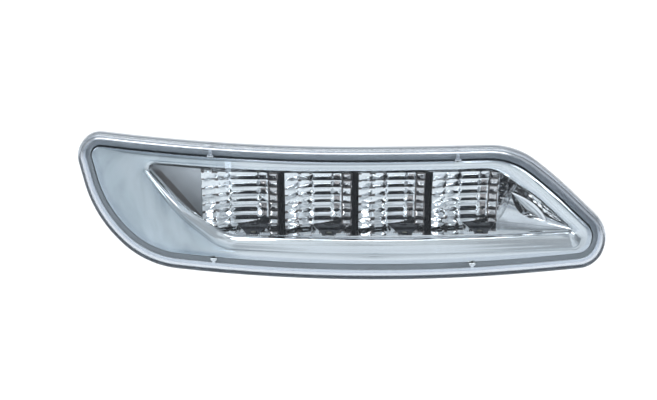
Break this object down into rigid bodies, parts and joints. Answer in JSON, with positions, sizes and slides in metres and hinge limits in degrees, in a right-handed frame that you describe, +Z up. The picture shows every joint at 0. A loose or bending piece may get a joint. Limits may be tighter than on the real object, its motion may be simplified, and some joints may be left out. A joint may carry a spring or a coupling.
{
  "type": "clearance lamp",
  "caption": "Slim swept clearance lamp: a clear bowed lens over a chrome bezel with a leaf-shaped opening and a faceted cell reflector, on a sealed housing with studs and a wiring socket.",
  "frame": {"origin": "midway between the axes of the two mounting studs, on the plane of the boss faces that meet the vehicle", "axes": "+X along the lamp's length, to the right as seen from the front; +Y to the rear, along the studs; +Z up, as the lamp hangs in the picture"},
  "size_m": [0.2523, 0.068, 0.0685],
  "materials": {
    "lens": "clear polycarbonate, hard coated",
    "seal": "dark grey bead",
    "housing": "grey moulded plastic, fine grain",
    "chrome": "vacuum plated plastic",
    "reflector": "bright vacuum plated plastic",
    "board": "black solder resist",
    "led": "clear resin on a pale body",
    "chip": "moulded black",
    "can": "satin can",
    "screw": "zinc plated",
    "stud": "zinc plated",
    "terminal": "tinned brass",
    "wire_black": "smooth insulation",
    "wire_red": "smooth insulation",
    "vent": "moulded cap"
  },
  "bodies": {
    "root": {"outer_lens": "lens", "lens_seal": "seal", "housing": "housing", "bezel": "chrome", "clip_top_left": "chrome", "clip_top_right": "chrome", "clip_bottom_left": "chrome", "clip_bottom_right": "chrome", "reflector": "reflector", "reflector_shelf": "reflector", "cheek_left": "reflector", "cheek_right": "reflector", "circuit_board": "board", "led_1": "led", "led_2": "led", "led_3": "led", "led_4": "led", "regulator": "chip", "diode": "chip", "resistor_left": "chip", "resistor_right": "chip", "capacitor": "can", "board_screw_left": "screw", "board_screw_right": "screw", "trim_screw_left": "screw", "trim_screw_right": "screw", "stud_left": "stud", "stud_right": "stud", "terminal_left": "terminal", "terminal_right": "terminal", "lead_left": "wire_black", "lead_right": "wire_red", "vent_cap": "vent"}
  },
  "joints": []
}
